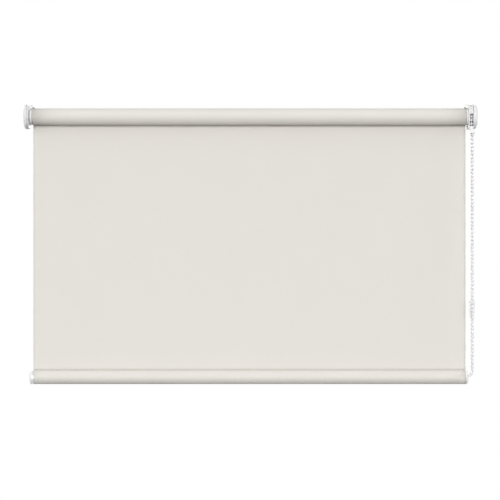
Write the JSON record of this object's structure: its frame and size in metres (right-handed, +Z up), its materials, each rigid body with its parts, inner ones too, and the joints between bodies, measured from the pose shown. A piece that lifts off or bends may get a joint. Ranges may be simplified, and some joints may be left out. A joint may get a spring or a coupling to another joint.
{
  "type": "blackout roller blind",
  "caption": "Chain-operated roller blind on a pair of moulded end brackets, with a flat blackout fabric, an oval weighted bottom rail and a free loop of bead chain.",
  "frame": {"origin": "centre of the left bracket's wall face, level with the roller's axis", "axes": "+X along the roller, from the pin end to the chain end; +Y into the wall; +Z up"},
  "size_m": [0.7321, 0.044, 0.4525],
  "materials": {
    "left_bracket": "white injection-moulded plastic, satin",
    "left_bracket_cover": "white injection-moulded plastic, satin",
    "right_bracket": "white injection-moulded plastic, satin",
    "right_bracket_cover": "white injection-moulded plastic, satin",
    "chain_guard": "white injection-moulded plastic, satin",
    "control_core": "white injection-moulded plastic, satin",
    "core_screw": "steel, bright",
    "core_clip": "steel, bright",
    "bead_chain": "white moulded plastic, satin",
    "chain_wrap": "white moulded plastic, satin",
    "fabric_sheet": "woven polyester with a blackout coating, cream, matt",
    "roller_tube": "extruded aluminium, mill finish",
    "fabric_tape": "adhesive tape",
    "fabric_roll": "woven polyester with a blackout coating, cream, matt",
    "idler_plug": "white injection-moulded plastic, satin",
    "idler_spring": "steel, bright",
    "drive_hub": "white injection-moulded plastic, satin",
    "sprocket": "white injection-moulded plastic, satin",
    "clutch_spring_inner": "steel, bright",
    "clutch_spring_outer": "steel, bright",
    "idler_pin": "steel, bright",
    "hem_pocket": "woven polyester with a blackout coating, cream, matt",
    "weight_bar": "extruded aluminium, mill finish",
    "left_rail_cap": "white injection-moulded plastic, satin",
    "right_rail_cap": "white injection-moulded plastic, satin",
    "joiner_front_half": "white moulded plastic, satin",
    "joiner_back_half": "white moulded plastic, satin"
  },
  "bodies": {
    "brackets": {"left_bracket": "left_bracket", "left_bracket_cover": "left_bracket_cover", "right_bracket": "right_bracket", "right_bracket_cover": "right_bracket_cover", "chain_guard": "chain_guard", "control_core": "control_core", "core_screw": "core_screw", "core_clip": "core_clip", "bead_chain": "bead_chain", "chain_wrap": "chain_wrap", "fabric_sheet": "fabric_sheet"},
    "roller": {"roller_tube": "roller_tube", "fabric_tape": "fabric_tape", "fabric_roll": "fabric_roll", "idler_plug": "idler_plug", "idler_spring": "idler_spring", "drive_hub": "drive_hub", "sprocket": "sprocket", "clutch_spring_inner": "clutch_spring_inner", "clutch_spring_outer": "clutch_spring_outer"},
    "idler_pin": {"idler_pin": "idler_pin"},
    "bottom_rail": {"hem_pocket": "hem_pocket", "weight_bar": "weight_bar", "left_rail_cap": "left_rail_cap", "right_rail_cap": "right_rail_cap"},
    "chain_joiner": {"joiner_front_half": "joiner_front_half", "joiner_back_half": "joiner_back_half"}
  },
  "joints": [
    {"name": "roller_spin", "type": "hinge", "parent": "brackets", "child": "roller", "pos_m": [0.3555, -0.024, 0], "axis": [1, 0, 0], "range_deg": [0, 1440]},
    {"name": "pin_press", "type": "slide", "parent": "roller", "child": "idler_pin", "axis": [1, 0, 0], "range_m": [0, 0.006], "stiffness_N_per_m": 600, "springref_m": -0.004, "deforming": ["idler_spring"]},
    {"name": "rail_lift", "type": "slide", "parent": "brackets", "child": "bottom_rail", "axis": [0, 0, 1], "range_m": [0, 0.355], "deforming": ["fabric_sheet"]},
    {"name": "joiner_travel", "type": "slide", "parent": "brackets", "child": "chain_joiner", "axis": [0, 0, 1], "range_m": [0, 0.2401]}
  ],
  "couplings": [
    {"joint": "rail_lift", "follows": "roller_spin", "m_per_rad": 0.0141},
    {"joint": "joiner_travel", "follows": "roller_spin", "m_per_rad": 0.00955}
  ]
}
